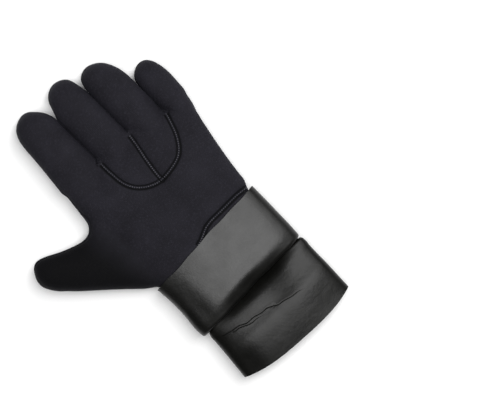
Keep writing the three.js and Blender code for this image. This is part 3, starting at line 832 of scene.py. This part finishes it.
def press_creases(tube):
    """Hairline creases in the seal's top, each with a soft lip on both sides."""
    paths = [np.array([(x, FOLD_LINE - share * SEAL_SHOW) for x, share in row]) for row in SEAL_CREASES]

    def gap_and_end(points):
        gaps, ends = [], []
        for path in paths:
            wander = np.stack([np.zeros(len(points)), 0.3 * np.sin(points[:, 0] * 0.45)], axis=1)
            gap, run = distance_to(path, points[:, :2] + wander)
            length = np.hypot(*np.diff(path, axis=0).T).sum()
            gaps.append(gap)
            ends.append(smooth_step(0, 6, run) * smooth_step(0, 26, length - run))
        pick = np.argmin(gaps, axis=0)
        return np.choose(pick, gaps), np.choose(pick, ends)

    high = SEAL_DEPTH * 0.6
    refine(tube, lambda p: (gap_and_end(p)[0] < 1.6) & (p[:, 2] > high), 2)
    points = to_glove(points_of(tube))
    gap, end = gap_and_end(points)
    share = end * (points[:, 2] > high)
    lip = CREASE_LIP * np.exp(-((gap / 1.8) ** 2))
    points[:, 2] += share * (lip - CREASE_DEPTH * np.exp(-((gap / CREASE_HALF) ** 2)))
    set_points(tube, to_row(points))


def soft_tube(name, round_steps, long_steps, place, wall, finish=None):
    """A wrapped sheet with a wall, and with whatever the finish does to it before that."""
    tube = wrapped_sheet(name, round_steps, long_steps, place)
    if finish:
        finish(tube)
    apply_modifier(tube, "SOLIDIFY", thickness=wall * MM, offset=0)
    make_active(tube)
    bpy.ops.object.mode_set(mode="EDIT")
    bpy.ops.mesh.select_all(action="SELECT")
    bpy.ops.mesh.normals_make_consistent(inside=False)
    bpy.ops.object.mode_set(mode="OBJECT")
    bpy.ops.object.shade_smooth_by_angle(angle=math.radians(50))
    return tube


# Small things that repeat on the surface, joined into one mesh
def joined_copies(name, seed, places, along, out):
    """Copies a small seed to every place, turned to lie along the surface, and joins the copies."""
    copies = []
    for place, way, up in zip(to_row(places), along, out):
        turn = Matrix((way, np.cross(up, way), up)).transposed().to_4x4()
        copy = seed.copy()
        copy.data = seed.data.copy()
        copy.data.transform(Matrix.Translation(place) @ turn)
        bpy.context.collection.objects.link(copy)
        copies.append(copy)
    bpy.data.objects.remove(seed, do_unlink=True)
    make_active(*copies)
    bpy.ops.object.join()
    obj = bpy.context.object
    obj.name = name
    obj.data.name = name
    bpy.ops.object.shade_smooth()
    return obj


def seed_ball(segments, rings, size):
    """A small ball pressed to a length, breadth and height in millimetres, at the origin."""
    deselect()
    bpy.ops.mesh.primitive_uv_sphere_add(segments=segments, ring_count=rings, radius=0.5 * MM)
    seed = bpy.context.object
    bpy.ops.transform.resize(value=size)
    bpy.ops.object.transform_apply(location=False, rotation=False, scale=True)
    return seed


def surface_tree(body):
    points = to_glove(points_of(body))
    faces = [tuple(p.vertices) for p in body.data.polygons]
    return BVHTree.FromPolygons([Vector(p) for p in points], faces)


def along_path(path, pitch):
    """Even places on a path seen from above, with the path's direction at each."""
    steps = np.diff(path, axis=0)
    lengths = np.hypot(*steps.T)
    run = np.concatenate([[0], np.cumsum(lengths)])
    at = np.arange(pitch / 2, run[-1], pitch)
    i = np.clip(np.searchsorted(run, at) - 1, 0, len(steps) - 1)
    share = (at - run[i]) / lengths[i]
    direction = steps[i] / lengths[i][:, None]
    return path[i] + steps[i] * share[:, None], direction


def back_stitches(tree):
    """Blind stitches on the back of the hand: short threads across each butt seam."""
    places, across, out = [], [], []
    for path, first, last in ((TONGUE_PATH, 2, 1), (MIDDLE_PATH[:-1], 1, 2), (WRIST_PATH, 0, 0)):
        flat, direction = along_path(path, STITCH_PITCH)
        for spot, way in zip(flat[first : len(flat) - last], direction[first:]):
            hit, normal, _, _ = tree.ray_cast(Vector((spot[0], spot[1], 60)), Vector((0, 0, -1)))
            if hit is None or normal.z < 0.6 or hit.z < HAND_AXIS or hit.y < HAND_END:
                continue
            aside = Vector((-way[1], way[0], 0))
            aside = (aside - normal * aside.dot(normal)).normalized()
            places.append(hit)
            across.append(aside)
            out.append(normal)
    seed = seed_ball(8, 6, STITCH_SIZE)
    return joined_copies("back_stitches", seed, np.array(places), np.array(across), np.array(out))


def grip_dots(tree):
    """Raised print on the palm side: a square grid seen from below, and from the side on its edges."""
    places, out = [], []

    def keep(hit, normal):
        on_palm = palm_field(np.array([hit]))[0] <= -2.6
        if on_palm and hit.y >= 8 + WRIST_SLOPE * hit.x:
            places.append(np.array(hit))
            out.append(np.array(normal))

    for x in np.arange(-THUMB_REACH, LITTLE_MIDDLE + LITTLE_BREADTH, PRINT_PITCH):
        for y in np.arange(0, INDEX_REACH, PRINT_PITCH):
            hit, normal, _, _ = tree.ray_cast(Vector((x, y, -20)), Vector((0, 0, 1)))
            if hit is not None and normal.z < -0.5:
                keep(hit, normal)
    for y in np.arange(0, INDEX_REACH, PRINT_PITCH):
        for z in np.arange(PRINT_PITCH / 2, PALM_EDGE_HIGH, PRINT_PITCH):
            hit, normal, _, _ = tree.ray_cast(Vector((-2 * THUMB_REACH, y, z)), Vector((1, 0, 0)))
            if hit is not None and -0.5 <= normal.z < 0.9 and normal.x < -0.3:
                keep(hit, normal)
    out = np.array(out)
    along = np.cross(out, np.tile([1.0, 0, 0], (len(out), 1)))
    flat = np.linalg.norm(along, axis=1) < 0.2
    along[flat] = np.cross(out[flat], [0, 1.0, 0])
    along /= np.linalg.norm(along, axis=1)[:, None]
    seed = seed_ball(10, 5, (PRINT_DOT, PRINT_DOT, PRINT_HEIGHT))
    return joined_copies("grip_dots", seed, np.array(places), along, out)


# Materials
def linear(code):
    """An sRGB hex colour as linear numbers."""
    values = [int(code[i : i + 2], 16) / 255 for i in (0, 2, 4)]
    return tuple(c / 12.92 if c <= 0.04045 else ((c + 0.055) / 1.055) ** 2.4 for c in values) + (1.0,)


def add_node(tree, kind, inputs=None, **settings):
    """A node with its settings, its inputs given as values or as other nodes' outputs."""
    node = tree.nodes.new(kind)
    for key, value in settings.items():
        setattr(node, key, value)
    for key, value in (inputs or {}).items():
        if isinstance(value, bpy.types.NodeSocket):
            tree.links.new(value, node.inputs[key])
        else:
            node.inputs[key].default_value = value
    return node


def new_material(name, **shader):
    material = bpy.data.materials.new(name)
    material.use_nodes = True
    bsdf = material.node_tree.nodes["Principled BSDF"]
    for key, value in shader.items():
        bsdf.inputs[key.replace("_", " ")].default_value = value
    place = add_node(material.node_tree, "ShaderNodeTexCoord").outputs["Object"]
    return material, material.node_tree, bsdf, place


def mix_colours(tree, share, first, second):
    mix = add_node(tree, "ShaderNodeMix", data_type="RGBA")
    for socket, value in ((mix.inputs[0], share), (mix.inputs[6], first), (mix.inputs[7], second)):
        if isinstance(value, bpy.types.NodeSocket):
            tree.links.new(value, socket)
        else:
            socket.default_value = value
    return mix.outputs[2]


def ranged(tree, value, low, high, to_low, to_high):
    inputs = {"Value": value, "From Min": low, "From Max": high, "To Min": to_low, "To Max": to_high}
    return add_node(tree, "ShaderNodeMapRange", inputs).outputs["Result"]


def noise(tree, place, size_mm, detail=3.0, roughness=0.55):
    inputs = {"Vector": place, "Scale": 1 / (size_mm * MM), "Detail": detail, "Roughness": roughness}
    return add_node(tree, "ShaderNodeTexNoise", inputs).outputs["Fac"]


def add_bump(tree, bsdf, heights):
    """Stacks bump maps, each a height socket with its depth in millimetres."""
    normal = None
    for height, depth in heights:
        inputs = {"Height": height, "Distance": depth * MM, "Strength": 1.0}
        if normal:
            inputs["Normal"] = normal
        normal = add_node(tree, "ShaderNodeBump", inputs).outputs["Normal"]
    tree.links.new(normal, bsdf.inputs["Normal"])


def jersey_material(name, dark, light):
    # Black nylon jersey, circular knit and laminated to the foam: matt, with a faint violet cast and
    # a soft bloom where it turns away. Its ribs are really 0.4 mm apart, too fine to show in the
    # render, and are drawn at 1.1 mm. Painted shade darkens it nearly to black towards the thumb,
    # and along the seams painted sheen lightens the ridges and painted shade blackens the furrows
    material, tree, bsdf, place = new_material(
        name, Roughness=0.8, Sheen_Weight=0.06, Sheen_Roughness=0.5, Specular_IOR_Level=0.12
    )
    bsdf.inputs["Sheen Tint"].default_value = linear("8a8a9c")
    ribs = add_node(
        tree,
        "ShaderNodeTexWave",
        {
            "Vector": place,
            "Scale": 1 / (RIB_PITCH * MM) / math.pi,
            "Distortion": 1.5,
            "Detail": 2.0,
            "Detail Scale": 1.5,
        },
        wave_type="BANDS",
        bands_direction="X",
    ).outputs["Fac"]
    nap = noise(tree, place, 1.4, 4.0, 0.7)
    cloud = noise(tree, place, 28, 3.0)
    tone = mix_colours(tree, ranged(tree, cloud, 0.3, 0.7, 0, 1), linear(dark), linear(light))
    fleck = mix_colours(tree, ranged(tree, nap, 0.5, 0.75, 0, 0.5), tone, linear("35343c"))
    # Painted shade: towards the thumb the colour goes nearly to black
    thumb = add_node(tree, "ShaderNodeAttribute", attribute_name="painted_thumb_shade").outputs["Fac"]
    fleck = mix_colours(tree, ranged(tree, thumb, 0, 1, 0, 0.95), fleck, linear("020203"))
    ridge = add_node(tree, "ShaderNodeAttribute", attribute_name="seam_ridge_thread_and_sheen").outputs["Fac"]
    furrow = add_node(tree, "ShaderNodeAttribute", attribute_name="seam_furrow_shade").outputs["Fac"]
    # Painted sheen lightens the seam ridges, dotted where the thread crosses, and painted shade blackens
    # the furrows
    raised = mix_colours(tree, ranged(tree, ridge, 0.2, 1, 0, 0.4), fleck, linear("3c3b44"))
    sunken = mix_colours(tree, ranged(tree, furrow, 0.15, 0.8, 0, 0.95), raised, linear("020203"))
    tree.links.new(sunken, bsdf.inputs["Base Color"])
    tree.links.new(ranged(tree, nap, 0.3, 0.7, 0.72, 0.9), bsdf.inputs["Roughness"])
    add_bump(tree, bsdf, [(cloud, 0.5), (nap, 0.22), (ribs, 0.1)])
    return material


def smooth_skin_material(name, gloss, dust):
    # Smooth-skin foam rubber: the foam's own closed face, near black and satin, with a faint pebble
    # from the blowing. Gloss is its specular level, and dust how much dull haze lies on it in patches
    material, tree, bsdf, place = new_material(name, IOR=1.5, Specular_IOR_Level=gloss)
    haze = noise(tree, place, 22, 4.0, 0.6)
    pebble = noise(tree, place, 1.3, 3.0, 0.6)
    scuff = noise(tree, place, 4.5, 5.0, 0.7)
    tone = mix_colours(tree, ranged(tree, haze, 0.3, 0.7, 0, 1), linear("060605"), linear("0a0a08"))
    dusty = mix_colours(tree, ranged(tree, scuff, 0.5, 0.75, 0, dust), tone, linear("141412"))
    tree.links.new(dusty, bsdf.inputs["Base Color"])
    tree.links.new(ranged(tree, haze, 0.3, 0.7, 0.33, 0.41), bsdf.inputs["Roughness"])
    add_bump(tree, bsdf, [(haze, 0.4), (scuff, 0.08), (pebble, 0.03)])
    return material


def print_material():
    # Screen-printed rubber dots, matt pale grey with worn and darker ones among them
    material, tree, bsdf, place = new_material("printed_rubber", Roughness=0.62)
    wear = noise(tree, place, 12, 3.0)
    tree.links.new(mix_colours(tree, wear, linear("6e6e72"), linear("a2a2a6")), bsdf.inputs["Base Color"])
    add_bump(tree, bsdf, [(noise(tree, place, 0.6), 0.05)])
    return material


def thread_material():
    # Bonded nylon thread, twisted: dark grey with a slight gloss, a little lighter than the jersey
    material, tree, bsdf, place = new_material("bonded_thread", Roughness=0.5, Sheen_Weight=0.1)
    twist = noise(tree, place, 0.4)
    tree.links.new(mix_colours(tree, twist, linear("2a2a2e"), linear("4a4a50")), bsdf.inputs["Base Color"])
    add_bump(tree, bsdf, [(twist, 0.05)])
    return material


def paint(obj, material):
    obj.data.materials.clear()
    obj.data.materials.append(material)


# The scene round the glove
PHOTO = (500, 407)
PHOTO_MM = 0.86
PHOTO_CENTRE = (48.6, -8.8)
PHOTO_TURN = -math.pi / 4


def make_camera():
    lens, sensor = 110, 36
    height = PHOTO[0] * PHOTO_MM * lens / sensor
    middle = to_row([[*PHOTO_CENTRE, 15]])[0]
    data = bpy.data.cameras.new("camera")
    data.lens = lens
    data.sensor_width = sensor
    data.clip_end = 10
    camera = bpy.data.objects.new("camera", data)
    bpy.context.collection.objects.link(camera)
    camera.location = (middle[0], middle[1], middle[2] + height * MM)
    camera.rotation_euler = (0, 0, PHOTO_TURN)
    bpy.context.scene.camera = camera


def make_light(name, place, size, power, aim=(0, 0, 0)):
    """A soft box that faces the aim. Where it hangs straight above that, its first size lies along x."""
    data = bpy.data.lights.new(name, "AREA")
    data.shape = "RECTANGLE"
    data.size, data.size_y = size
    data.energy = power
    light = bpy.data.objects.new(name, data)
    bpy.context.collection.objects.link(light)
    light.location = place
    light.rotation_euler = (Vector(aim) - Vector(place)).to_track_quat("-Z", "Y").to_euler()


def make_studio():
    deselect()
    bpy.ops.mesh.primitive_plane_add(size=6)
    floor = bpy.context.object
    floor.name = "floor"
    material, _, bsdf, _ = new_material("floor_paper", Roughness=0.9, Specular_IOR_Level=0.1)
    bsdf.inputs["Base Color"].default_value = linear("f4f4f4")
    paint(floor, material)
    make_light("overhead", (0.36, -0.02, 1.7), (1.9, 0.95), 41, aim=(0.36, -0.02, 0))
    make_light("side", (1.35, 0.1, 1.15), (0.9, 0.9), 9)
    world = bpy.data.worlds.new("studio")
    world.use_nodes = True
    world.node_tree.nodes["Background"].inputs["Color"].default_value = (1, 1, 1, 1)
    world.node_tree.nodes["Background"].inputs["Strength"].default_value = 0.06
    bpy.context.scene.world = world
    bpy.context.scene.view_settings.view_transform = "Standard"


make_camera()
make_studio()

body, (palm_panel, back_panel, middle_panel, ring_panel) = hand_panels()
tree = surface_tree(body)
stitches = back_stitches(tree)
dots = grip_dots(tree)
bpy.data.objects.remove(body, do_unlink=True)
turned_cuff = soft_tube("turned_cuff", 220, 130, turned_cuff_points, CUFF_WALL)
seal_cuff = soft_tube("seal_cuff", 240, 130, seal_points, SEAL_WALL, press_creases)

jersey = jersey_material("black_jersey", "151419", "1e1d23")
printed = jersey_material("printed_jersey", "131317", "1a1a1f")
for panel in (back_panel, middle_panel, ring_panel):
    paint(panel, jersey)
paint(palm_panel, printed)
paint(turned_cuff, smooth_skin_material("dusty_smooth_skin", 0.34, 0.4))
paint(seal_cuff, smooth_skin_material("clean_smooth_skin", 0.22, 0.15))
paint(stitches, thread_material())
paint(dots, print_material())

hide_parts("palm_panel")
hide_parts("back_panel")
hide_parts("middle_finger_panel")
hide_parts("ring_finger_panel")
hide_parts("outer_cuff")
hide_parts("inner_cuff")
for piece in (palm_panel, back_panel, middle_panel, ring_panel, turned_cuff, seal_cuff, stitches, dots):
    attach(piece, "root")
